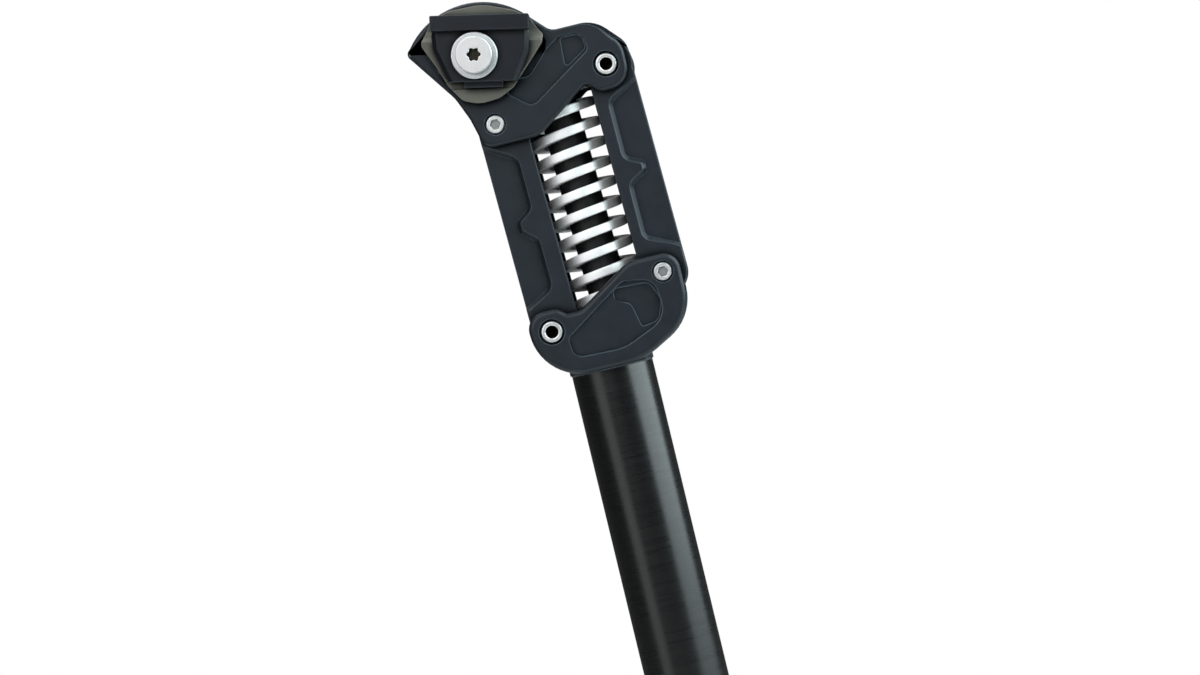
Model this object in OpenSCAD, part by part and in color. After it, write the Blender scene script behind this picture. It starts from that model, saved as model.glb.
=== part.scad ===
// Parallelogram suspension seatpost: a round post, a lower knuckle, two side links that swing together,
// a head that stays level, a coil spring between the links, and a clamp for two saddle rails.
// +Z runs up the post, +X points to the front of the bicycle, and the origin is on the post's axis at its
// lower end.

/* [Post] */
// Outside diameter of the post tube
post_d = 27.2; // [26.8:0.2:27.6]
// Wall thickness of the post tube
post_wall = 2.2; // [1.8:0.1:2.6]
// Length of the post tube, from its lower end to the underside of the lower knuckle
post_len = 240; // [200:5:300]

/* [Linkage] */
// Distance between the two pivots of each link
link_len = 70; // [69:0.5:71]
// Rearward lean of the links from the post's direction at rest, in degrees
link_lean = 1.7; // [1.5:0.1:1.9]
// Distance between the two pivots of the knuckle, and of the head
bar_len = 41.1; // [41:0.1:41.4]
// Rise of the front pivots over the rear ones, in degrees
bar_rise = 15.1; // [14.9:0.1:15.3]
// Half width of the links over their outer faces
link_half_w = 14.2; // [14:0.1:14.3]
// Wall thickness of the links
link_wall = 3.5; // [3:0.1:3.6]
// Depth of the stepped panels in the outer faces of the links
panel_depth = 1.5; // [1:0.1:1.7]

/* [Knuckle and head] */
// Half width of the knuckle and the head over their side plates
plate_half_w = 18; // [17.8:0.1:18.2]
// Thickness of the side plates that hold the pivots
plate_t = 3; // [2.8:0.1:3.1]
// Depth of the shallow panels in the side plates
plate_panel_depth = 0.8; // [0.4:0.1:1]
// Further depth of the deeper corner of each panel
plate_corner_depth = 0.5; // [0.3:0.1:0.8]

/* [Spring] */
// Outside diameter of the coil spring
spring_d = 24.5; // [24:0.1:24.6]
// Width of the spring's flat wire, across the coil
wire_w = 4.25; // [4:0.05:4.5]
// Thickness of the spring's flat wire, along the coil
wire_t = 3; // [2.8:0.1:3.1]
// Number of open turns, between one closed turn at each end
open_turns = 9.9; // [9:0.1:10]
// Diameter of the elastomer column inside the spring
core_d = 13.1; // [12:0.1:13.6]

/* [Saddle clamp] */
// Diameter of the saddle rails
rail_d = 7; // [7:0.1:7.2]
// Distance between the two saddle rails, centre to centre
rail_spacing = 44; // [43.8:0.1:44.2]
// Height of the rails' centres over the clamp screw
rail_rise = 8.5; // [8.3:0.1:8.7]
// Fall of the rails towards the front, relative to a line square to the post, in degrees
rail_fall = 12.1; // [10:0.1:14]

/* [Hidden] */
$fn = 64;
// Largest turn, in degrees, between two sides of a rounded corner
arc_step = 7;
// How far a cutting shape reaches past the face that it cuts
over = 1;

// Pivots, as [forward, height over the knuckle's underside]
rear_lower = [-15.8, 15.6];
front_lower = rear_lower + bar_len * [cos(bar_rise), sin(bar_rise)];
link_vector = link_len * [-sin(link_lean), cos(link_lean)];
rear_upper = rear_lower + link_vector;
front_upper = front_lower + link_vector;
clamp_centre = [-18.7, 108.3];

// Axles and bushes
big_axle_r = 3.5;
small_axle_r = 3;
running_gap = 0.05;
bush_wall = 1;
bush_flange_t = 0.5;
bush_flange_r = 5.8;
bush_len = 8;
big_recess_r = 4.2;
small_recess_r = 3.5;
recess_depth = 1.8;
axle_inset = 0.4;
socket_r = 2;
socket_depth = 12;
pin_screw_head_r = 2.85;
pin_screw_r = 1.5;
pin_screw_len = 9;
pin_screw_socket_af = 3;
pin_screw_socket_depth = 1;

// Plates and links
plate_in = plate_half_w - plate_t;
spigot_r = post_d / 2 - post_wall;
spigot_len = 40;
collar_h = 0.6;
collar_top = 2.6;
collar_spread = 0.5;
link_in = link_half_w - link_wall;
rear_link_back = -6.3;
rear_link_front = 9.5;
front_link_back = -7;
front_link_front = 8;
rear_end_r = 7;
rear_top_r = 6.2;
front_end_r = 8;
front_top_r = 8.6;
web_t = 3;

// Spring and its seats, in the rear link's own frame
spring_u = 20.7;
shelf_t = 2.8;
seat_r = 12.5;
seat_t = 2;
seat_boss_h = 1.6;
seat_boss_gap = 0.15;
spring_well_r = 13.1;
spring_from = 3;
spring_to = 79;
shelf_half_w = 9;
shelf_inset = 0.4;

// Saddle clamp, in a frame that runs along the rails
jaw_y = rail_spacing / 2;
jaw_gap = 0.2;
jaw_seat_y = 15.2;
jaw_disc_r = 11.6;
jaw_pocket_r = 12;
jaw_ledge_depth = 0.7;
wing_pocket_depth = 1.4;
barrel_r = 8;
outer_jaw_t = 4.8;
band_t = 2.4;
band_from = 8.1;
foot_t = 3.4;
flank_bevel = 1.5;
washer_r = 7.6;
washer_t = 1.5;
clamp_head_r = 5.9;
clamp_head_h = 3.2;
clamp_screw_r = 2.5;
clamp_hole_r = 2.9;
clamp_screw_len = 22;
star_r = 2.25;
star_depth = 2.2;

// --- Outlines -------------------------------------------------------------------------------------------

function unit(v) = v / norm(v);
function plane(p) = [p[0], p[1]];
function arc(c, r, from, to, n) = [for (i = [0:n]) c + r * [cos(from + (to - from) * i / n),
                                                           sin(from + (to - from) * i / n)]];
// The shorter way round from one direction to another
function turn(from, to) = (to - from + 540) % 360 - 180;
function round_from(c, r, a, d) = arc(c, r, a, a + d, max(2, ceil(abs(d) / arc_step)));
function corner_arc(q, r, u, v) =
    let (half = acos(u * v) / 2, c = q + unit(u + v) * r / sin(half), t = r / tan(half),
         s = q + u * t - c, e = q + v * t - c, a = atan2(s[1], s[0]))
    round_from(c, r, a, turn(a, atan2(e[1], e[0])));
function corner(p, q, s) =
    q[2] == 0 ? [plane(q)] : corner_arc(plane(q), q[2], unit(plane(p) - plane(q)), unit(plane(s) - plane(q)));
// A closed outline from corners given as [x, y, radius]
function outline(c) =
    let (n = len(c)) [for (i = [0:n - 1]) each corner(c[(i + n - 1) % n], c[i], c[(i + 1) % n])];
function sharp(points) = [for (p = points) [p[0], p[1], 0]];

knuckle_corners = [
    [-23.1, -0.2, 16.8], [11, -0.2, 20], [29.8, 9.7, 17], [29.8, 32.2, 5.7], [13.5, 32.2, 9],
    [-5.2, 20.3, 4], [-9.6, 20.3, 2.5], [-12.8, 22.8, 3], [-23.1, 22.8, 6]
];
knuckle_panel = [
    [-10.4, 5.6, 3.5], [6, 5.0, 16], [21.8, 11.6, 8], [20.4, 24.6, 5], [10.2, 26.3, 3.5], [-11, 12.4, 2.2]
];
knuckle_corner = [
    [6.6, 24.6, 1.6], [6.6, 20.6, 1.6], [11.4, 18.6, 3], [13.2, 10.4, 1], [18.8, 11.2, 3], [21.4, 17.6, 4],
    [18.6, 24, 3]
];
head_top_arc = sharp(arc([-18.6, 100], 26.1, 142, 42, 20));
head_low_corners = [
    [18, 87.9, 3.5], [13.9, 91.8, 2.2], [-4.6, 78.6, 10], [-22.8, 78.6, 4.5], [-25.4, 89, 12],
    [-28.6, 96.8, 12]
];
head_corners = concat(
    [[-41, 114.4, 2]], head_top_arc,
    [[6.4, 110.8, 4.5], [19.8, 110.8, 10], [28.4, 101.6, 8], [28.4, 87.9, 7.2]], head_low_corners
);
// The web stands a little proud of the plates round the front upper pivot
head_web_corners = concat(
    [[-41, 114.4, 2]], head_top_arc,
    [[6.8, 111.2, 4.5], [21.2, 111.2, 11], [30.2, 101.4, 8], [30.2, 87.9, 7.2]], head_low_corners
);
head_panel = [
    [-12.4, 95, 1.5], [-4.6, 88.3, 3.2], [17.2, 102.2, 2.4], [16.6, 108.4, 3.4], [8.6, 108.4, 2], [-4, 100, 2]
];
head_corner = [[9.2, 107.9, 0.8], [8.6, 98, 1], [16.6, 102.9, 1.8], [16.1, 107.9, 2.6]];
rear_link_panel = [
    [-9, 65, 0], [3, 57.2, 3.5], [3, 41, 2.6], [-1.9, 37.6, 2], [-1.9, 34.2, 2], [2.7, 29.8, 2.6],
    [2.7, 14.2, 3], [-9, 8.2, 0]
];
front_link_panel = [
    [12, 64.6, 0], [-1.5, 57.8, 3], [-1.7, 39.4, 2.6], [3.8, 36.6, 2], [3.8, 33, 2], [-2, 30, 2.6],
    [-2.2, 12.8, 2.4], [12, 5.4, 0]
];

// Saddle clamp outlines, as [along the rails, up from the screw]
inner_jaw_corners = [
    [-17.6, 5.2, 1], [-14.6, 11.6, 3], [-8.6, 14.8, 6], [2.4, 16.9, 18], [12.6, 14.8, 8], [17.6, 12.2, 3],
    [22, 6.8, 1], [21.6, 4, 1], [15.8, -4.6, 2], [12, -10.2, 3], [7.6, -13.6, 5], [1, -15.4, 9],
    [-4.6, -14.2, 4], [-9.2, -9.4, 4], [-13, -2.9, 2], [-17.4, 3.4, 0.8]
];
wing_pocket_corners = [
    [-18.6, 5, 1], [-15.6, 8.6, 3], [-10.8, 12.6, 5], [0, 15.4, 14], [11, 13.4, 8], [17.2, 10, 3],
    [22.7, 5, 1], [22.4, 1.4, 1.2], [17.2, -6.6, 3], [0, -10, 3], [-12.4, -4.6, 2]
];
jaw_ledge_corners = [[-11.2, -10.6, 0], [14.4, -10.6, 0], [15.8, -7.4, 0], [-12.2, -7.4, 0]];
outer_jaw_corners = [
    [-14.2, 13, 0.5], [17.9, 13, 0.5], [17.9, 7.9, 0], [17.5, 1.2, 0], [13.6, -8.4, 0], [-8.7, -8.4, 0],
    [-13.5, 2.1, 0], [-14, 7.9, 0]
];
// The bevelled flanks of the outer jaw: from one corner to the next, and how far the cut runs past each
jaw_flanks = [
    [[13.6, -8.4], [17.5, 1.2], over, over], [[17.5, 1.2], [17.9, 7.9], over, 0],
    [[-14, 7.9], [-13.5, 2.1], 0, over], [[-13.5, 2.1], [-8.7, -8.4], over, over]
];
jaw_foot_corners = [[-3.6, -10.3, 0.3], [9, -10.3, 0.3], [9, -7, 0.3], [-3.6, -7, 0.3]];

// --- Placing --------------------------------------------------------------------------------------------

// A profile drawn as [forward, up], made solid from y0 to y1
module slab(y0, y1) {
    translate([0, y1, 0]) rotate([90, 0, 0]) linear_extrude(height = y1 - y0) children();
}
module both_sides() {
    children();
    mirror([0, 1, 0]) children();
}
module slabs(y0, y1) {
    both_sides() slab(y0, y1) children();
}
module at_knuckle() {
    translate([0, 0, post_len]) children();
}
// The frame of a link: its origin at a pivot, its height along the link
module at_link(pivot) {
    translate([pivot[0], 0, post_len + pivot[1]]) rotate([0, -link_lean, 0]) children();
}
// The frame of the saddle clamp: its first axis along the rails
module at_clamp() {
    translate([clamp_centre[0], 0, post_len + clamp_centre[1]]) rotate([0, rail_fall, 0]) children();
}
// A cylinder along Y about a point of the side view
module across(p, r, y0, y1) {
    translate([p[0], y0, p[1]]) rotate([-90, 0, 0]) cylinder(r = r, h = y1 - y0);
}
module across_both(p, r, y0, y1) {
    both_sides() across(p, r, y0, y1);
}
module disc(p, r) {
    translate(p) circle(r = r);
}

// --- Post and knuckle -----------------------------------------------------------------------------------

module post_tube() {
    color("#17181a") difference() {
        cylinder(r = post_d / 2, h = post_len - collar_h - 0.05);
        translate([0, 0, -over]) cylinder(r = spigot_r, h = post_len + 2 * over);
    }
}

// The holes and recesses of one pivot in a pair of side plates
module plate_pivot(p, axle_r, recess_r) {
    across(p, axle_r + running_gap / 2, -plate_half_w - over, plate_half_w + over);
    across_both(p, recess_r, plate_half_w - recess_depth, plate_half_w + over);
}

// A shallow panel in both side plates, with one deeper corner
module stepped_panel() {
    slabs(plate_half_w - plate_panel_depth, plate_half_w + over) children(0);
    slabs(plate_half_w - plate_panel_depth - plate_corner_depth, plate_half_w + over) children(1);
}

module knuckle_web() {
    intersection() {
        polygon(outline(knuckle_corners));
        difference() {
            union() {
                translate([-40, -10]) square([80, 22.2]);
                translate([20.5, 0]) square([20, 18.5]);
            }
            disc(rear_lower, rear_end_r + 0.8);
            disc(front_lower, front_end_r + 0.8);
        }
    }
}

// A collar that flares from the tube's diameter up into the knuckle
module collar() {
    rotate_extrude() difference() {
        translate([0, post_len - collar_h]) square([post_d / 2 + collar_spread, collar_h + collar_top]);
        translate([post_d / 2 + collar_spread, post_len - collar_h]) circle(r = collar_spread);
    }
}

module lower_knuckle() {
    color("#2b3137") {
        difference() {
            union() {
                at_knuckle() slabs(plate_in, plate_half_w) polygon(outline(knuckle_corners));
                at_knuckle() slab(-plate_in - 0.5, plate_in + 0.5) knuckle_web();
                translate([0, 0, post_len - spigot_len]) cylinder(r = spigot_r, h = spigot_len + 2);
                collar();
            }
            at_knuckle() plate_pivot(rear_lower, big_axle_r, big_recess_r);
            at_knuckle() plate_pivot(front_lower, small_axle_r, small_recess_r);
            at_knuckle() stepped_panel() {
                polygon(outline(knuckle_panel));
                polygon(outline(knuckle_corner));
            }
            translate([0, 0, post_len - spigot_len - over]) cylinder(r = spigot_r - 3, h = spigot_len - 2);
        }
    }
}

// --- Axles and bushes -----------------------------------------------------------------------------------

module big_axle(p) {
    color("silver") at_knuckle() difference() {
        across(p, big_axle_r, -plate_half_w + axle_inset, plate_half_w - axle_inset);
        across_both(p, socket_r, plate_half_w - socket_depth, plate_half_w + over);
    }
}
module small_axle(p) {
    color("silver") at_knuckle() difference() {
        across(p, small_axle_r, -plate_half_w + recess_depth, plate_half_w - recess_depth);
        across_both(p, pin_screw_r + 0.05, plate_half_w - recess_depth - pin_screw_len - 1, plate_half_w);
    }
}
module small_axle_screws(p) {
    color("gainsboro") at_knuckle() difference() {
        union() {
            across_both(p, pin_screw_head_r, plate_half_w - recess_depth, plate_half_w - 0.3);
            across_both(p, pin_screw_r, plate_half_w - recess_depth - pin_screw_len, plate_half_w - 1);
        }
        both_sides() translate([p[0], plate_half_w - 0.3 - pin_screw_socket_depth, p[1]])
            rotate([-90, 0, 0]) cylinder(r = pin_screw_socket_af / sqrt(3), h = 2, $fn = 6);
    }
}
module rear_lower_axle() {
    big_axle(rear_lower);
}
module front_upper_axle() {
    big_axle(front_upper);
}
module front_lower_axle() {
    small_axle(front_lower);
}
module rear_upper_axle() {
    small_axle(rear_upper);
}
module front_lower_axle_screws() {
    small_axle_screws(front_lower);
}
module rear_upper_axle_screws() {
    small_axle_screws(rear_upper);
}

// A pair of flanged bushes pressed into the two ends of a link's barrel
module bushes(p, axle_r) {
    color("#b08d57") at_knuckle() difference() {
        union() {
            across_both(p, axle_r + running_gap + bush_wall, link_half_w - bush_len,
                        link_half_w + bush_flange_t);
            across_both(p, bush_flange_r, link_half_w, link_half_w + bush_flange_t);
        }
        across(p, axle_r + running_gap, -plate_half_w, plate_half_w);
    }
}
module bush_bores(p, axle_r) {
    across_both(p, axle_r + running_gap + bush_wall, link_half_w - bush_len, link_half_w + over);
    across(p, axle_r + 0.4, -link_half_w, link_half_w);
}
module rear_link_lower_bushes() {
    bushes(rear_lower, big_axle_r);
}
module rear_link_upper_bushes() {
    bushes(rear_upper, small_axle_r);
}
module front_link_lower_bushes() {
    bushes(front_lower, small_axle_r);
}
module front_link_upper_bushes() {
    bushes(front_upper, big_axle_r);
}

// --- Links ----------------------------------------------------------------------------------------------

// A link's side outline: straight flanks between two round ends
module link_profile(back, front, low_r, top_r, low_in, top_in) {
    union() {
        disc([0, 0], low_r);
        disc([0, link_len], top_r);
        polygon([[back, 0], [back, link_len], [0, link_len], [front, top_in], [front, low_in], [0, 0]]);
    }
}

// A channel: two side walls, a web along one edge, and a barrel across each end
module channel(low_r, top_r) {
    slabs(link_in, link_half_w) children(0);
    slab(-link_in - 0.5, link_in + 0.5) {
        disc([0, 0], low_r);
        disc([0, link_len], top_r);
        children(1);
    }
}

// The spring's shelf, a tongue that reaches out from the link's barrel under one end of the spring
module shelf(v, from_u) {
    translate([spring_u, 0, v]) cylinder(r = seat_r - shelf_inset, h = shelf_t);
    translate([min(spring_u, from_u), -shelf_half_w, v])
        cube([abs(spring_u - from_u), 2 * shelf_half_w, shelf_t]);
}
module spring_well() {
    at_link(rear_lower) translate([spring_u, 0, spring_from - seat_t])
        cylinder(r = spring_well_r, h = spring_to - spring_from + 2 * seat_t);
}

module rear_link() {
    color("#272c31") difference() {
        union() {
            at_link(rear_lower) channel(rear_end_r, rear_top_r) {
                link_profile(rear_link_back, rear_link_front, rear_end_r, rear_top_r, 3, 64);
                translate([rear_link_back, 0]) square([web_t, link_len]);
            }
            at_link(rear_lower) shelf(spring_from - seat_t - shelf_t, 2);
        }
        spring_well();
        at_knuckle() bush_bores(rear_lower, big_axle_r);
        at_knuckle() bush_bores(rear_upper, small_axle_r);
        at_link(rear_lower) slabs(link_half_w - panel_depth, link_half_w + over)
            polygon(outline(rear_link_panel));
    }
}

module front_link() {
    color("#272c31") difference() {
        union() {
            at_link(front_lower) channel(front_end_r, front_top_r) {
                mirror([1, 0])
                    link_profile(-front_link_front, -front_link_back, front_end_r, front_top_r, 5, 66);
                translate([front_link_front - web_t, 0]) square([web_t, link_len]);
            }
            at_link(rear_lower) shelf(spring_to + seat_t, 38);
        }
        spring_well();
        at_knuckle() bush_bores(front_lower, small_axle_r);
        at_knuckle() bush_bores(front_upper, big_axle_r);
        at_link(front_lower) slabs(link_half_w - panel_depth, link_half_w + over)
            polygon(outline(front_link_panel));
    }
}

// --- Spring ---------------------------------------------------------------------------------------------

// A seat: a disc with a low boss that centres the coil
module spring_seat() {
    cylinder(r = seat_r, h = seat_t);
    cylinder(r = spring_d / 2 - wire_w - seat_boss_gap, h = seat_t + seat_boss_h);
}
module lower_spring_seat() {
    color("#1b1c1e") at_link(rear_lower) translate([spring_u, 0, spring_from - seat_t]) spring_seat();
}
module upper_spring_seat() {
    color("#1b1c1e") at_link(rear_lower) translate([spring_u, 0, spring_to + seat_t])
        rotate([180, 0, 0]) spring_seat();
}
module elastomer_core() {
    color("#101010") at_link(rear_lower) translate([spring_u, 0, spring_from + seat_boss_h])
        cylinder(r = core_d / 2, h = spring_to - spring_from - 2 * seat_boss_h);
}

// The wire's height along the axis after a number of turns, with a closed turn at each end
closed_rise = wire_t + 0.05;
open_rise = (spring_to - spring_from - wire_t - 2 * closed_rise) / open_turns;
function coil_height(t) =
    min(t, 1) * closed_rise + max(0, min(t - 1, open_turns)) * open_rise
    + max(0, t - 1 - open_turns) * closed_rise;
coil_steps = 24;
coil_start = -96;
coil_turns = open_turns + 2;
coil_count = floor(coil_turns * coil_steps);
wire_corners = [[-wire_w, 0], [0, 0], [0, wire_t], [-wire_w, wire_t]];
function coil_point(i, k) =
    let (a = coil_start + 360 * i / coil_steps, r = spring_d / 2 + wire_corners[k][0])
    [r * cos(a), r * sin(a), coil_height(i / coil_steps) + wire_corners[k][1]];
coil_points = [for (i = [0:coil_count], k = [0:3]) coil_point(i, k)];
coil_sides = [for (i = [0:coil_count - 1], k = [0:3])
    let (a = 4 * i + k, b = 4 * i + (k + 1) % 4) each [[a, a + 4, b + 4], [a, b + 4, b]]];
coil_ends = [[0, 1, 2], [0, 2, 3], [for (k = [2, 1, 0]) 4 * coil_count + k],
             [for (k = [3, 2, 0]) 4 * coil_count + k]];

module coil_spring() {
    color("#d8dadc") at_link(rear_lower) translate([spring_u, 0, spring_from])
        polyhedron(points = coil_points, faces = concat(coil_sides, coil_ends));
}

// --- Head -----------------------------------------------------------------------------------------------

module head_web() {
    intersection() {
        polygon(outline(head_web_corners));
        difference() {
            union() {
                translate([-50, 100.9]) square([100, 30]);
                translate([-50, 90]) square([36, 20]);
            }
            disc(rear_upper, rear_top_r + 1);
            disc(front_upper, front_top_r + 0.35);
        }
    }
}

module head() {
    color("#2e343a") at_knuckle() difference() {
        union() {
            slabs(plate_in, plate_half_w) polygon(outline(head_corners));
            slab(-plate_in - 0.5, plate_in + 0.5) head_web();
        }
        plate_pivot(rear_upper, small_axle_r, small_recess_r);
        plate_pivot(front_upper, big_axle_r, big_recess_r);
        across(clamp_centre, barrel_r + running_gap, -plate_half_w - over, plate_half_w + over);
        across_both(clamp_centre, jaw_pocket_r, jaw_seat_y - 0.2, plate_half_w + over);
        translate([clamp_centre[0], 0, clamp_centre[1]]) rotate([0, rail_fall, 0])
            slabs(plate_half_w - wing_pocket_depth, plate_half_w + over)
                polygon(outline(wing_pocket_corners));
        stepped_panel() {
            polygon(outline(head_panel));
            polygon(outline(head_corner));
        }
    }
}

// --- Saddle clamp ---------------------------------------------------------------------------------------

module rail_groove() {
    translate([-30, jaw_y, rail_rise]) rotate([0, 90, 0]) cylinder(r = rail_d / 2, h = 60);
}

module clamp_barrel() {
    color("silver") at_clamp() difference() {
        across([0, 0], barrel_r, -jaw_seat_y, jaw_seat_y);
        across([0, 0], clamp_screw_r + running_gap, -plate_half_w, plate_half_w);
    }
}

module inner_jaw() {
    face_y = jaw_y - jaw_gap;
    color("#67655d") at_clamp() difference() {
        union() {
            across([0, 0], jaw_disc_r, jaw_seat_y, plate_half_w + 0.8);
            slab(plate_half_w + 0.3, face_y) polygon(outline(inner_jaw_corners));
        }
        across([0, 0], clamp_hole_r, 0, jaw_y + over);
        slab(face_y - jaw_ledge_depth, face_y + over) polygon(outline(jaw_ledge_corners));
        rail_groove();
    }
}

// Bevels the outer edge of a flank that runs from p to q, with the jaw on its left
module flank_cut(p, q, before, after, face_y) {
    step = q - p;
    translate([p[0], face_y, p[1]]) rotate([0, -atan2(step[1], step[0]), 0]) translate([-before, 0, 0])
        rotate([90, 0, 90]) linear_extrude(height = norm(step) + before + after)
            polygon([[-flank_bevel - over, -over], [over, -over], [over, flank_bevel + over]]);
}

module outer_jaw() {
    face_y = jaw_y + outer_jaw_t;
    color("#1c2026") at_clamp() difference() {
        union() {
            difference() {
                slab(jaw_y + jaw_gap, face_y) polygon(outline(outer_jaw_corners));
                for (f = jaw_flanks) flank_cut(f[0], f[1], f[2], f[3], face_y);
            }
            slab(jaw_y + jaw_gap, jaw_y + foot_t) polygon(outline(jaw_foot_corners));
            slab(face_y - 0.5, face_y + band_t) intersection() {
                polygon(outline(outer_jaw_corners));
                translate([-20, band_from]) square([40, 10]);
            }
        }
        across([0, 0], clamp_hole_r, 0, 40);
        rail_groove();
    }
}

module clamp_washer() {
    color("silver") at_clamp() difference() {
        across([0, 0], washer_r, jaw_y + outer_jaw_t, jaw_y + outer_jaw_t + washer_t);
        across([0, 0], clamp_hole_r, 0, 40);
    }
}

module clamp_screw() {
    under_head = jaw_y + outer_jaw_t + washer_t;
    color("gainsboro") at_clamp() difference() {
        union() {
            across([0, 0], clamp_head_r, under_head, under_head + clamp_head_h);
            across([0, 0], clamp_screw_r, under_head - clamp_screw_len, under_head + 1);
        }
        slab(under_head + clamp_head_h - star_depth, under_head + clamp_head_h + over) star_recess();
    }
}

// A six-lobed driver recess
module star_recess() {
    union() {
        circle(r = star_r * 0.78);
        for (a = [0:60:300]) rotate(a) translate([star_r * 0.74, 0]) circle(r = star_r * 0.26);
    }
}

// The near side in the side view is the rider's right
module right_side() {
    mirror([0, 1, 0]) children();
}
module inner_jaw_right() {
    right_side() inner_jaw();
}
module inner_jaw_left() {
    inner_jaw();
}
module outer_jaw_right() {
    right_side() outer_jaw();
}
module outer_jaw_left() {
    outer_jaw();
}
module clamp_washer_right() {
    right_side() clamp_washer();
}
module clamp_washer_left() {
    clamp_washer();
}
module clamp_screw_right() {
    right_side() clamp_screw();
}
module clamp_screw_left() {
    clamp_screw();
}

post_tube();
lower_knuckle();
rear_lower_axle();
front_lower_axle();
front_lower_axle_screws();
rear_link();
rear_link_lower_bushes();
rear_link_upper_bushes();
lower_spring_seat();
coil_spring();
elastomer_core();
front_link();
front_link_lower_bushes();
front_link_upper_bushes();
upper_spring_seat();
head();
rear_upper_axle();
rear_upper_axle_screws();
front_upper_axle();
clamp_barrel();
inner_jaw_right();
inner_jaw_left();
outer_jaw_right();
outer_jaw_left();
clamp_washer_right();
clamp_washer_left();
clamp_screw_right();
clamp_screw_left();
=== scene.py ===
# %% [markdown]
# # A suspension seatpost
# The real post is a drawn aluminium tube under a parallelogram of four forged aluminium pieces, with a coil
# spring held between the two links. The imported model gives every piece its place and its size. This lesson
# gives the pieces their rounded edges, their small details and their finishes.

import math

import bmesh
import bpy
from mathutils import Matrix, Vector


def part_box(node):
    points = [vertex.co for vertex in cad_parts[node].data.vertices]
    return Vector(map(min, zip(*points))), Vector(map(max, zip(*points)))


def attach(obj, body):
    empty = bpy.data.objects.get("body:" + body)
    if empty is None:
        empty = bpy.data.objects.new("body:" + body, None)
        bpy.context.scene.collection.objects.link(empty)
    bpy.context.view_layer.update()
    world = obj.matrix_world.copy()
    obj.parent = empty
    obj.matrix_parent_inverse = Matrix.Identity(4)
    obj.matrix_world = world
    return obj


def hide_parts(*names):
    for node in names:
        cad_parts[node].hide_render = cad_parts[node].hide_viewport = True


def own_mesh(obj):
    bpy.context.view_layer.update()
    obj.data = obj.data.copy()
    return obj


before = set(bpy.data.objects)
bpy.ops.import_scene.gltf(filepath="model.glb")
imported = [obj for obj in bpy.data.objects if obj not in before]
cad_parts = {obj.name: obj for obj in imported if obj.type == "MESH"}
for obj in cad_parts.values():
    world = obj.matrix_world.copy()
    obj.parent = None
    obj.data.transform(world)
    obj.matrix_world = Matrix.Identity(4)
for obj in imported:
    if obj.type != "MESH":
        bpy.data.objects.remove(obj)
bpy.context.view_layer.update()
MM = 0.001

# %% [markdown]
# ## Where things are
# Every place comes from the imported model: a pivot is the middle of its axle's box, and the links' lean is the
# direction from a link's lower pivot to its upper one.

# %% Pivots and directions
def middle(node):
    low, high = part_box(node)
    return (Vector(low) + Vector(high)) / 2


def size(node):
    low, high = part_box(node)
    return Vector(high) - Vector(low)


pivots = {name: middle(name) for name in
          ("rear_lower_axle", "front_lower_axle", "rear_upper_axle", "front_upper_axle")}
link_direction = (pivots["rear_upper_axle"] - pivots["rear_lower_axle"]).normalized()
link_lean = math.atan2(-link_direction.x, link_direction.z)
plate_half_width = size("lower_knuckle").y / 2
link_half_width = size("rear_link").y / 2
# How far the knuckle's underside is below the rear pivot
KNUCKLE_DROP = 15.6 * MM
knuckle_underside = pivots["rear_lower_axle"].z - KNUCKLE_DROP
print("links lean", round(math.degrees(link_lean), 2), "degrees")
print("plates are at", round(plate_half_width / MM, 2), "mm")

# %% [markdown]
# ## Camera
# The post is seen square from its right side, with the camera rolled so that it leans as it does on a
# bicycle. A long lens from a little over a metre keeps the two sides of the head almost in line.

# %% Camera
POST_LEAN = math.radians(13.6)
CAMERA_DISTANCE = 1.3
CAMERA_AZIMUTH = math.radians(2.0)
VIEW_WIDTH = 0.3956
SENSOR = 36.0
# The middle of the view: a little behind the tube's axis and a little above the knuckle's underside
AIM_X = -0.0016
AIM_RISE = 0.0102


def add_camera():
    target = Vector((AIM_X, 0, knuckle_underside + AIM_RISE))
    back = Vector((math.sin(CAMERA_AZIMUTH), -math.cos(CAMERA_AZIMUTH), 0))
    up_hint = Vector((math.sin(POST_LEAN), 0, math.cos(POST_LEAN)))
    right = (-back).cross(up_hint).normalized()
    up = right.cross(-back)
    data = bpy.data.cameras.new("camera")
    data.sensor_width = SENSOR
    data.lens = SENSOR * CAMERA_DISTANCE / VIEW_WIDTH
    camera = bpy.data.objects.new("camera", data)
    bpy.context.scene.collection.objects.link(camera)
    turn = Matrix((right, up, back)).transposed().to_4x4()
    camera.matrix_world = Matrix.Translation(target + back * CAMERA_DISTANCE) @ turn
    bpy.context.scene.camera = camera
    return camera


camera = add_camera()
print("lens:", round(camera.data.lens, 1), "mm")

# %% [markdown]
# ## Colours and nodes
# A colour picked from a screen is an sRGB value, and the renderer works with linear light, so one function
# turns a hex value to linear. A second one adds a shader node with its settings and its links.

# %% Helpers for materials
def linear(hex_value):
    parts = [int(hex_value[i:i + 2], 16) / 255 for i in (1, 3, 5)]
    return tuple(p / 12.92 if p <= 0.04045 else ((p + 0.055) / 1.055) ** 2.4 for p in parts) + (1.0,)


def add_node(tree, kind, sockets=None, **settings):
    node = tree.nodes.new(kind)
    for name, value in settings.items():
        setattr(node, name, value)
    for name, value in (sockets or {}).items():
        if isinstance(value, bpy.types.NodeSocket):
            tree.links.new(value, node.inputs[name])
        else:
            node.inputs[name].default_value = value
    return node


def new_material(name, **shader):
    """A material with one Principled shader, whose constants are set on its own sockets."""
    material = bpy.data.materials.new(name)
    material.use_nodes = True
    tree = material.node_tree
    tree.nodes.clear()
    constants = {name.replace("_", " "): value for name, value in shader.items()}
    principled = add_node(tree, "ShaderNodeBsdfPrincipled", constants)
    add_node(tree, "ShaderNodeOutputMaterial", {"Surface": principled.outputs[0]})
    return material, tree, principled


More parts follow.
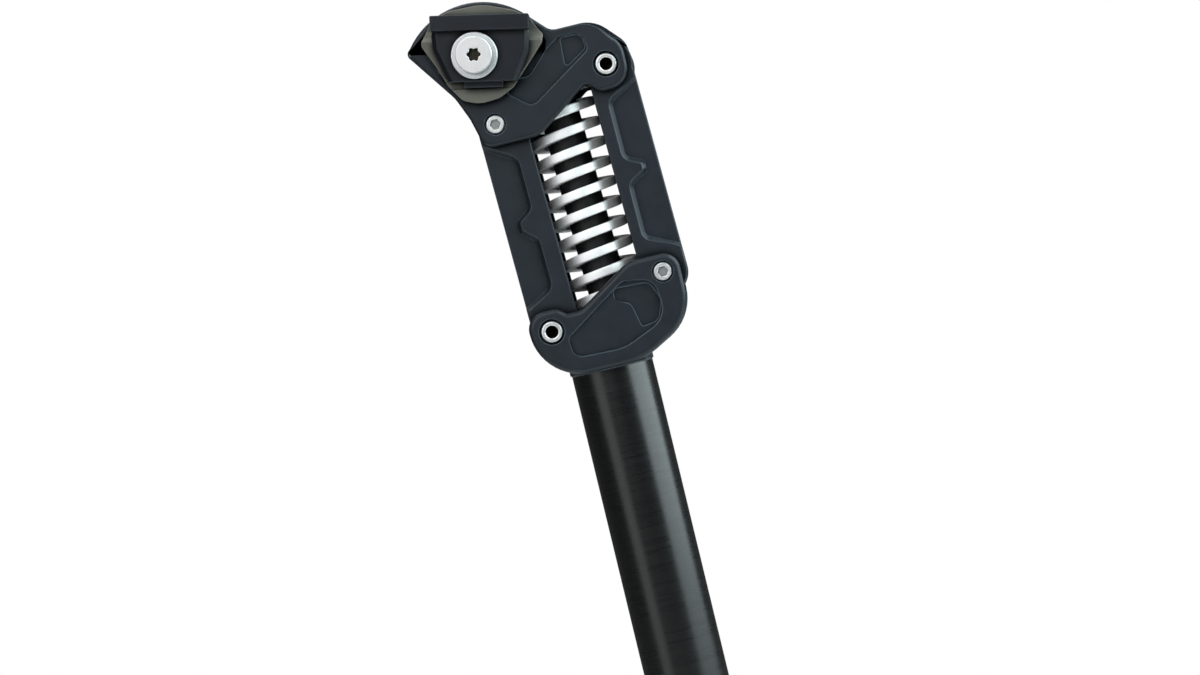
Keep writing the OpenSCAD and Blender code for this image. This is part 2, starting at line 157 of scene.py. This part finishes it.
def object_noise(tree, grain_mm, detail=2.0, stretch=(1, 1, 1)):
    """Noise whose blotches are grain_mm across on the object, longer along an axis with a small stretch."""
    place = add_node(tree, "ShaderNodeTexCoord").outputs["Object"]
    turned = add_node(tree, "ShaderNodeMapping", {"Vector": place, "Scale": stretch})
    noise = {"Vector": turned.outputs[0], "Scale": 1 / (grain_mm * MM), "Detail": detail}
    return add_node(tree, "ShaderNodeTexNoise", noise).outputs["Fac"]


def spread(tree, value, low, high, from_low=0.3, from_high=0.7):
    limits = {"Value": value, "From Min": from_low, "From Max": from_high, "To Min": low, "To Max": high}
    return add_node(tree, "ShaderNodeMapRange", limits).outputs["Result"]


def two_tone(tree, factor, first, second):
    mix = add_node(tree, "ShaderNodeMix", {0: factor, 6: linear(first) if isinstance(first, str) else first,
                                           7: linear(second) if isinstance(second, str) else second},
                   data_type="RGBA")
    return mix.outputs[2]


def rough_up(tree, principled, height, depth_mm, strength=1.0):
    bump = add_node(tree, "ShaderNodeBump",
                    {"Height": height, "Distance": depth_mm * MM, "Strength": strength})
    tree.links.new(bump.outputs[0], principled.inputs["Normal"])


def worn_and_highlit_edges(tree, colour, wear_and_highlight, radius_mm):
    """Lightens the metal where the surface turns sharply: partly wear, as handling does to anodising, partly a
    painted highlight.
    """
    soft = add_node(tree, "ShaderNodeBevel", {"Radius": radius_mm * MM}, samples=4)
    here = add_node(tree, "ShaderNodeNewGeometry").outputs["Normal"]
    alike = add_node(tree, "ShaderNodeVectorMath", {0: soft.outputs[0], 1: here}, operation="DOT_PRODUCT")
    edge = spread(tree, alike.outputs["Value"], 1.0, 0.0, 0.80, 0.985)
    return two_tone(tree, edge, colour, wear_and_highlight)


# %% [markdown]
# ## Anodised aluminium
# The knuckle, links and head are forged, blasted with fine beads and anodised blue-black. Blasting leaves a
# silky grain of about a tenth of a millimetre, drawn here three times as coarse so that it shows. The dye
# layer is not a bare metal: it shines like a dark lacquer with a little metal under it.

# %% Blasted blue-black anodising
def openness_for_painted_shade(tree, reach_mm):
    """How open a place is, from 0 deep in a corner to 1 on an open face: corners and creases get painted shade.
    """
    return add_node(tree, "ShaderNodeAmbientOcclusion", {"Distance": reach_mm * MM}, samples=8).outputs["AO"]


def blasted_anodising(name, dark, light, wear_and_highlight, rough_low, rough_high):
    material, tree, principled = new_material(name, Metallic=0.35, IOR=1.5)
    cloud = spread(tree, object_noise(tree, 9.0), 0.0, 1.0)
    speck = spread(tree, object_noise(tree, 0.45, 3.0), 0.35, 0.65)
    tone = two_tone(tree, cloud, dark, light)
    speckled = two_tone(tree, speck, tone, light)
    # Painted shade: corners and creases are darkened to near black and reflect less, by how open the place is.
    painted_shade_openness = spread(tree, openness_for_painted_shade(tree, 2.5), 0.0, 1.0, 0.45, 0.97)
    deep = two_tone(tree, painted_shade_openness, "#030405", speckled)
    # The edges are lightened: partly wear from handling, partly a painted highlight along them.
    tree.links.new(worn_and_highlit_edges(tree, deep, wear_and_highlight, 0.5), principled.inputs["Base Color"])
    tree.links.new(spread(tree, painted_shade_openness, 0.04, 0.38, 0.0, 1.0), principled.inputs["Specular IOR Level"])
    tree.links.new(spread(tree, object_noise(tree, 3.0, 4.0), rough_low, rough_high),
                   principled.inputs["Roughness"])
    rough_up(tree, principled, object_noise(tree, 0.3, 3.0), 0.02, 0.6)
    return material


forged_finish = blasted_anodising("forged_aluminium_blasted_anodised",
                                  "#12181e", "#1a2128", "#5a6973", 0.38, 0.47)
jaw_finish = blasted_anodising("machined_aluminium_satin_anodised",
                               "#0b0f15", "#11161d", "#4a5560", 0.34, 0.42)
hard_finish = blasted_anodising("forged_aluminium_hard_anodised",
                                "#50504b", "#5e5e57", "#7b7a70", 0.45, 0.55)
print("anodised finishes:", forged_finish.name, jaw_finish.name, hard_finish.name)

# %% [markdown]
# ## The post tube
# The tube is drawn, polished round and round, and anodised black. The polishing leaves fine rings, so its
# roughness and bump are stretched round the tube. The dye hides the metal, so the shader has no metal in it
# and all that is seen is the reflection in its smooth skin. The printing on the real tube is left out.

# %% Satin black tube
def satin_tube():
    material, tree, principled = new_material("drawn_aluminium_satin_anodised", Metallic=0.0, IOR=1.5)
    rings = object_noise(tree, 0.5, 3.0, (0.06, 0.06, 1.0))
    tone = two_tone(tree, spread(tree, rings, 0.0, 1.0), "#050607", "#090a0b")
    tree.links.new(tone, principled.inputs["Base Color"])
    tree.links.new(spread(tree, object_noise(tree, 1.2, 2.0, (0.05, 0.05, 1.0)), 0.26, 0.30),
                   principled.inputs["Roughness"])
    rough_up(tree, principled, rings, 0.0015, 0.3)
    return material


tube_finish = satin_tube()
print("tube finish:", tube_finish.name)

# %% [markdown]
# ## Bright steel, bronze, rubber and plastic
# The spring is rolled flat wire, ground and left bright. The axles, screws and washers are turned stainless
# steel, with painted shade inside their sockets. The bushes are bronze, the column in the spring is a rubbery
# elastomer and the spring's seats are moulded plastic.

# %% The other finishes
def plain_metal(name, dark, light, rough_low, rough_high, grain_mm, stretch, depth_mm, metallic=1.0):
    material, tree, principled = new_material(name, Metallic=metallic, IOR=1.5)
    grain = object_noise(tree, grain_mm, 3.0, stretch)
    tree.links.new(two_tone(tree, spread(tree, grain, 0.0, 1.0), dark, light),
                   principled.inputs["Base Color"])
    tree.links.new(spread(tree, object_noise(tree, 2.0, 3.0), rough_low, rough_high),
                   principled.inputs["Roughness"])
    rough_up(tree, principled, grain, depth_mm, 0.5)
    return material


def matt_polymer(name, dark, light, rough, depth_mm):
    material, tree, principled = new_material(name, IOR=1.5)
    grain = object_noise(tree, 0.35, 3.0)
    tree.links.new(two_tone(tree, spread(tree, grain, 0.0, 1.0), dark, light),
                   principled.inputs["Base Color"])
    tree.links.new(spread(tree, grain, rough, rough + 0.12), principled.inputs["Roughness"])
    rough_up(tree, principled, grain, depth_mm, 0.5)
    return material


spring_finish = plain_metal("spring_steel_ground_bright", "#dcdedf", "#f4f4f4",
                            0.44, 0.54, 0.4, (1, 1, 3.0), 0.006, 0.6)
steel_finish = plain_metal("stainless_steel_turned", "#c6c8c9", "#dedede",
                           0.36, 0.46, 0.3, (1, 3.0, 1), 0.006)
washer_finish = plain_metal("stainless_steel_tumbled", "#b4b8bb", "#cccfd1",
                            0.40, 0.50, 0.3, (1, 1, 1), 0.008)
# Painted shade: these two darker steels colour the walls and floors of sockets and holes.
steel_painted_socket_shade = plain_metal("steel_painted_shade_shallow_socket", "#85898c", "#9ca0a3",
                           0.42, 0.52, 0.3, (1, 1, 1), 0.006)
steel_painted_deep_shade = plain_metal("steel_painted_shade_deep_hole", "#2b2924", "#4a463f", 0.45, 0.55, 0.3, (1, 1, 1), 0.006)
bronze_finish = plain_metal("bronze_sintered", "#7d6137", "#9a7b4b", 0.40, 0.52, 0.25, (1, 1, 1), 0.01)
rubber_finish = matt_polymer("elastomer_moulded", "#0a0a0b", "#111112", 0.55, 0.015)
plastic_finish = matt_polymer("nylon_moulded", "#121315", "#191a1c", 0.45, 0.01)
print("metals:", [m.name for m in (spring_finish, steel_finish, washer_finish, bronze_finish)])
print("polymers:", rubber_finish.name, plastic_finish.name)

# %% [markdown]
# ## Working on a mesh
# An operator works on all that is selected, so each helper starts from nothing selected. A piece that keeps
# its CAD shape starts as a copy of the node's mesh. That mesh is loose triangles, so its doubles are merged
# and its flat faces are joined before an edge is rounded.

# %% Helpers for pieces
def only(piece):
    if bpy.context.object and bpy.context.object.mode != "OBJECT":
        bpy.ops.object.mode_set(mode="OBJECT")
    for other in bpy.context.selected_objects:
        other.select_set(False)
    bpy.context.view_layer.objects.active = piece
    piece.select_set(True)


def edit(piece, kind="EDGE"):
    """Opens a piece in edit mode with nothing selected, and returns its editable mesh."""
    only(piece)
    bpy.ops.object.mode_set(mode="EDIT")
    bpy.ops.mesh.select_mode(type=kind)
    bpy.ops.mesh.select_all(action="DESELECT")
    return bmesh.from_edit_mesh(piece.data)


def done():
    bpy.ops.object.mode_set(mode="OBJECT")


def show_selection(piece, mesh):
    mesh.select_flush_mode()
    bmesh.update_edit_mesh(piece.data)


def copy_of_node(node, name):
    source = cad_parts[node]
    piece = bpy.data.objects.new(name, source.data.copy())
    piece.data.materials.clear()
    bpy.context.scene.collection.objects.link(piece)
    edit(piece, "VERT")
    bpy.ops.mesh.select_all(action="SELECT")
    bpy.ops.mesh.remove_doubles(threshold=0.002 * MM)
    bpy.ops.mesh.dissolve_limited(angle_limit=math.radians(0.5))
    done()
    piece.data.validate()
    return piece


def wall_depth(edge):
    """How far the wall under an edge of a side face goes across the post."""
    walls = [f for f in edge.link_faces if abs(f.normal.y) < 0.5]
    if len(walls) != 1:
        return 0.0
    across = [v.co.y for v in walls[0].verts]
    return max(across) - min(across)


def round_edges(piece, width, chosen, segments=3, sharper_than=25):
    """Bevels the edges that turn more than sharper_than degrees and that chosen(edge) picks."""
    mesh = edit(piece)
    picked = 0
    for e in mesh.edges:
        if len(e.link_faces) == 2 and e.calc_face_angle(0) > math.radians(sharper_than) and chosen(e):
            e.select = True
            picked += 1
    show_selection(piece, mesh)
    if picked:
        bpy.ops.mesh.bevel(offset=width, segments=segments, profile=0.5, affect="EDGES", clamp_overlap=False)
    done()
    return picked


def smooth(piece, angle=32):
    only(piece)
    bpy.ops.object.shade_smooth_by_angle(angle=math.radians(angle))
    bpy.ops.object.modifier_add(type="WEIGHTED_NORMAL")
    piece.modifiers[-1].keep_sharp = True
    bpy.ops.object.modifier_apply(modifier=piece.modifiers[-1].name)


def finish_piece(piece, material, body, slot, *nodes):
    smooth(piece)
    piece.data.materials.clear()
    piece.data.materials.append(material)
    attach(piece, body)
    if nodes:
        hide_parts(*nodes)
    print(piece.name, "faces:", len(piece.data.polygons))
    return piece


# %% [markdown]
# ## The forged pieces
# A forging has no sharp edge: the die gives it a radius of about a millimetre outside and less in its shallow
# panels. The helper picks each edge by the depth of the wall under it.

# %% Knuckle and head
# The depth of the wall under an edge tells the panels, the pockets and the outer rim apart
SHALLOWEST_PANEL = 0.2 * MM
DEEPEST_PANEL = 1.0 * MM
DEEPEST_POCKET = 2.5 * MM
PANEL_ROUND = 0.35 * MM
POCKET_ROUND = 0.2 * MM
KNUCKLE_ROUND = 1.7 * MM
HEAD_ROUND = 1.3 * MM


def middle_of(edge):
    return (edge.verts[0].co + edge.verts[1].co) / 2


def on_side_face(edge, half_width):
    along_the_face = abs(edge.verts[0].co.y - edge.verts[1].co.y) < 0.01 * MM
    return along_the_face and abs(abs(middle_of(edge).y) - half_width) < 0.05 * MM


def round_forging(piece, half_width, outer):
    rim = lambda e: on_side_face(e, half_width) and wall_depth(e) > DEEPEST_POCKET
    shallow = lambda e: on_side_face(e, half_width) and SHALLOWEST_PANEL < wall_depth(e) < DEEPEST_PANEL
    pocket = lambda e: on_side_face(e, half_width) and DEEPEST_PANEL <= wall_depth(e) <= DEEPEST_POCKET
    print(piece.name, "rim edges", round_edges(piece, outer, rim, 6),
          "panel edges", round_edges(piece, PANEL_ROUND, shallow, 2),
          "pocket edges", round_edges(piece, POCKET_ROUND, pocket, 2))


knuckle = copy_of_node("lower_knuckle", "knuckle")
round_forging(knuckle, plate_half_width, KNUCKLE_ROUND)
finish_piece(knuckle, forged_finish, "post", "forging", "lower_knuckle")

head = copy_of_node("head", "head_forging")
round_forging(head, plate_half_width, HEAD_ROUND)
finish_piece(head, forged_finish, "head", "forging", "head")

# %% [markdown]
# ## The links
# Each link is a channel, open towards the spring. The panel in its side steps down through a sloped band: a
# chamfer on the step's edge and a hollow sweep at its foot.

# %% Links
SHALLOWEST_STEP = 0.5 * MM
DEEPEST_STEP = 2.2 * MM
LINK_RIM_WALL = 3.0 * MM
STEP_CHAMFER = 1.3 * MM
FOOT_SWEEP = 1.0 * MM
LINK_ROUND = 0.5 * MM


def build_link(node):
    piece = copy_of_node(node, node + "_forging")
    step = lambda e: on_side_face(e, link_half_width) and SHALLOWEST_STEP < wall_depth(e) < DEEPEST_STEP
    print(node, "step edges:", round_edges(piece, STEP_CHAMFER, step, 1))
    floors = [abs(f.center.y) for f in piece.data.polygons if abs(f.normal.y) > 0.99
              and link_half_width - DEEPEST_STEP < abs(f.center.y) < link_half_width - SHALLOWEST_STEP]
    floor_y = min(floors)
    foot = lambda e: on_side_face(e, floor_y)
    print(node, "floor edges:", round_edges(piece, FOOT_SWEEP, foot, 3, 15))
    rim = lambda e: on_side_face(e, link_half_width) and wall_depth(e) > LINK_RIM_WALL
    print(node, "rim edges:", round_edges(piece, LINK_ROUND, rim, 3))
    return finish_piece(piece, forged_finish, node, "forging", node)


for node in ("rear_link", "front_link"):
    build_link(node)

# %% [markdown]
# ## The spring
# The wire is a rounded rectangle that follows a helix, so a curve with a drawn section makes it. The first
# and last turns lie closed, and both ends are ground flat: a plane cuts each end square to the coil.

# %% Coil spring
# Height of the bosses on the seats, between which the column stands
BOSS_H = 1.6 * MM
COLUMN_ROUND = 0.6 * MM


def spring_frame():
    """The matrix from the coil's own frame to the object's, the coil's length and the column's radius."""
    centre = middle("elastomer_core")
    core_r = size("elastomer_core").y / 2
    length = (size("elastomer_core").z - 2 * core_r * math.sin(link_lean)) / math.cos(link_lean) + 2 * BOSS_H
    turn = Matrix.Rotation(-link_lean, 4, "Y")
    return Matrix.Translation(centre) @ turn @ Matrix.Translation((0, 0, -length / 2)), length, core_r


def bake_place(piece, matrix):
    """Puts a place into the mesh and leaves the object at the origin."""
    piece.data.transform(matrix)
    piece.matrix_world = Matrix.Identity(4)


coil_to_frame, coil_length, core_r = spring_frame()
COIL_R = size("coil_spring").y / 2
WIRE_W = 4.25 * MM
WIRE_T = 3.0 * MM
WIRE_CORNER = 0.45 * MM
OPEN_TURNS = 10.3
START_ANGLE = math.radians(-168)
STEPS = 40
CUT = 0.45 * WIRE_T
uncut_length = coil_length + 2 * CUT


def coil_height(turns):
    closed = WIRE_T * 1.02
    rise = (uncut_length - WIRE_T - 2 * closed) / OPEN_TURNS
    open_part = max(0, min(turns - 1, OPEN_TURNS)) * rise
    return min(turns, 1) * closed + open_part + max(0, turns - 1 - OPEN_TURNS) * closed


def wire_section():
    """A closed curve: a rectangle of the wire's size with its corners rounded by almost half a millimetre."""
    half_w, half_t = WIRE_W / 2 - WIRE_CORNER, WIRE_T / 2 - WIRE_CORNER
    points = []
    for quarter, (sx, sy) in enumerate(((1, 1), (-1, 1), (-1, -1), (1, -1))):
        for step in range(4):
            a = math.radians(90 * quarter + 30 * step)
            points.append((sx * half_w + WIRE_CORNER * math.cos(a), sy * half_t + WIRE_CORNER * math.sin(a)))
    curve = bpy.data.curves.new("wire_section", "CURVE")
    curve.dimensions = "2D"
    spline = curve.splines.new("POLY")
    spline.points.add(len(points) - 1)
    for p, (x, y) in zip(spline.points, points):
        p.co = (x, y, 0, 1)
    spline.use_cyclic_u = True
    section = bpy.data.objects.new("wire_section", curve)
    bpy.context.scene.collection.objects.link(section)
    return section


def build_spring():
    turns = OPEN_TURNS + 2
    curve = bpy.data.curves.new("spring", "CURVE")
    curve.dimensions = "3D"
    curve.twist_mode = "Z_UP"
    curve.bevel_mode = "OBJECT"
    section = wire_section()
    curve.bevel_object = section
    curve.use_fill_caps = True
    spline = curve.splines.new("POLY")
    count = int(turns * STEPS)
    spline.points.add(count)
    mean_r = COIL_R - WIRE_W / 2
    for i, p in enumerate(spline.points):
        a = START_ANGLE + 2 * math.pi * i / STEPS
        p.co = (mean_r * math.cos(a), mean_r * math.sin(a), WIRE_T / 2 + coil_height(i / STEPS), 1)
    piece = bpy.data.objects.new("spring", curve)
    bpy.context.scene.collection.objects.link(piece)
    only(piece)
    bpy.ops.object.convert(target="MESH")
    bpy.data.objects.remove(section)
    piece = bpy.context.object
    for height, normal in ((CUT, -1), (uncut_length - CUT, 1)):
        edit(piece)
        bpy.ops.mesh.select_all(action="SELECT")
        bpy.ops.mesh.remove_doubles(threshold=0.001 * MM)
        bpy.ops.mesh.bisect(plane_co=(0, 0, height), plane_no=(0, 0, normal), clear_outer=True, use_fill=True)
        done()
    return piece


spring = build_spring()
bake_place(spring, coil_to_frame @ Matrix.Translation((0, 0, -CUT)))
finish_piece(spring, spring_finish, "rear_link", "spring", "coil_spring")
print("coil length in mm:", round(coil_length / MM, 2))

# %% [markdown]
# ## What moves
# The coil stands on the rear link and its top is held by the front link. As the links swing, the top seat
# comes down and a little backwards, because the bar between the two links turns against them. Here the coil
# and the column go with the rear link.

# %% Column in the spring
def build_core():
    bpy.ops.mesh.primitive_cylinder_add(vertices=64, radius=core_r, depth=coil_length - 2 * BOSS_H,
                                        location=(0, 0, coil_length / 2))
    piece = bpy.context.object
    piece.name = "column"
    only(piece)
    bpy.ops.object.transform_apply(location=True, rotation=True, scale=True)
    round_edges(piece, COLUMN_ROUND, lambda e: True, 3)
    bake_place(piece, coil_to_frame)
    return finish_piece(piece, rubber_finish, "rear_link", "elastomer", "elastomer_core")


core = build_core()


for piece in (spring, core):
    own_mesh(piece)

# %% Finishes of the pieces that keep their CAD shape
def dress(node, material):
    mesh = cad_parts[node].data
    mesh.materials.clear()
    mesh.materials.append(material)


TUBE_END_ROUND = 0.5 * MM
JAW_ROUND = 0.25 * MM
tube = copy_of_node("post_tube", "tube")
round_edges(tube, TUBE_END_ROUND, lambda e: middle_of(e).z < 1 * MM, 3)
finish_piece(tube, tube_finish, "post", "post", "post_tube")
for side in ("right", "left"):
    for node, finish, slot, body in (("inner_jaw_", hard_finish, "inner_jaw", "saddle_clamp"),
                                     ("outer_jaw_", jaw_finish, "outer_jaw", side + "_jaw")):
        jaw = copy_of_node(node + side, node + side + "_piece")
        round_edges(jaw, JAW_ROUND, lambda e: True, 2, 35)
        finish_piece(jaw, finish, body, slot, node + side)
dress("clamp_barrel", steel_finish)
for node in ("rear_link_lower_bushes", "rear_link_upper_bushes", "front_link_lower_bushes",
             "front_link_upper_bushes"):
    dress(node, bronze_finish)
for node in ("lower_spring_seat", "upper_spring_seat"):
    dress(node, plastic_finish)

# %% [markdown]
# ## Axles, screws and washers
# These are turned on a lathe, which leaves a small chamfer or radius on every rim. Only the rims near an
# outer face are rounded, since the rest is inside the joint.

# %% Turned pieces
def rims(piece, width, segments, low, high):
    """Rounds the rims whose distance from the middle plane lies between low and high, in mm."""
    def chosen(e):
        ys = [abs(v.co.y) / MM for v in e.verts]
        return low <= min(ys) and max(ys) <= high and abs(ys[0] - ys[1]) < 0.02
    return round_edges(piece, width * MM, chosen, segments, 35)


def darken_hole(piece, centre, radius, below, look):
    """Gives the walls and floor of a socket the look of metal that sees little light."""
    piece.data.materials.append(look)
    for face in piece.data.polygons:
        off = math.hypot(face.center.x - centre.x, face.center.z - centre.z)
        if off < radius and abs(face.center.y) < below:  # inside the socket, under its rim
            face.material_index = 1


def turned(node, body, width, hole_r, finish=steel_finish, socket=steel_painted_deep_shade, segments=3):
    piece = copy_of_node(node, node + "_turned")
    outer = max(abs(v.co.y) for v in piece.data.vertices)
    print(node, "rims:", rims(piece, width, segments, outer / MM - 0.1, outer / MM + 0.1))
    finish_piece(piece, finish, body, "steel", node)
    if hole_r:
        darken_hole(piece, middle(node), hole_r * MM, outer - 0.6 * width * MM, socket)
    return piece


turned("rear_lower_axle", "post", 0.5, 2.1)
turned("front_upper_axle", "head", 0.5, 2.1)
turned("front_lower_axle_screws", "post", 0.3, 1.8, socket=steel_painted_socket_shade)
turned("rear_upper_axle_screws", "head", 0.3, 1.8, socket=steel_painted_socket_shade)
for side in ("right", "left"):
    turned("clamp_washer_" + side, side + "_jaw", 0.45, 0, washer_finish)
    turned("clamp_screw_" + side, side + "_jaw", 0.3, 2.4)
for node in ("front_lower_axle", "rear_upper_axle"):
    dress(node, steel_finish)

# %% [markdown]
# ## Floor and light
# A product studio: a pale floor, a white surround and five soft panels. The tall bright one on the post's
# front side draws the light line down the tube. A weaker one stands on the rear side, two face the post from
# beside and above the camera, and one hangs over it.

# %% Floor
bpy.ops.mesh.primitive_cylinder_add(vertices=96, radius=0.6, depth=0.01, location=(0, 0, -0.0052))
floor = bpy.context.object
floor.name = "floor"
floor_finish, floor_tree, floor_shader = new_material("paper_floor_matt", Roughness=0.9)
floor_tone = two_tone(floor_tree, object_noise(floor_tree, 20.0), "#e9e9e7", "#efefed")
floor_tree.links.new(floor_tone, floor_shader.inputs["Base Color"])
floor.data.materials.append(floor_finish)

# %% Lights
def panel(name, direction, distance, width, height, watts, tint="#ffffff"):
    """A soft light that looks at the middle of the linkage from a direction."""
    aim = Vector((0, 0, knuckle_underside + 0.04))
    away = Vector(direction).normalized()
    data = bpy.data.lights.new(name, "AREA")
    data.shape = "RECTANGLE"
    data.size, data.size_y = width, height
    data.energy = watts
    data.color = linear(tint)[:3]
    light = bpy.data.objects.new(name, data)
    light.location = aim + away * distance
    light.rotation_euler = away.to_track_quat("Z", "Y").to_euler()
    bpy.context.scene.collection.objects.link(light)
    return light


panel("front_side_panel", (1.0, -0.22, 0.42), 1.0, 1.3, 1.2, 32, "#e4f4f6")
panel("rear_side_panel", (-0.75, -0.7, 0.3), 1.0, 0.5, 1.2, 2.6)
panel("key_panel", (-0.35, -1.0, 0.32), 1.6, 0.9, 0.5, 5.2)
panel("over_camera_panel", (-0.3, -1.0, 0.85), 1.4, 1.2, 0.6, 7)
panel("top_panel", (-0.1, 0.1, 1.0), 0.9, 0.8, 0.8, 7)

world = bpy.data.worlds.new("studio")
bpy.context.scene.world = world
world.use_nodes = True
world.node_tree.nodes.clear()
shade = add_node(world.node_tree, "ShaderNodeBackground", {"Color": linear("#ffffff"), "Strength": 0.08})
seen = add_node(world.node_tree, "ShaderNodeBackground", {"Color": linear("#ffffff"), "Strength": 1.0})
looks = add_node(world.node_tree, "ShaderNodeLightPath").outputs["Is Camera Ray"]
mixed = add_node(world.node_tree, "ShaderNodeMixShader", {0: looks, 1: shade.outputs[0], 2: seen.outputs[0]})
add_node(world.node_tree, "ShaderNodeOutputWorld", {"Surface": mixed.outputs[0]})
bpy.context.scene.view_settings.view_transform = "Standard"
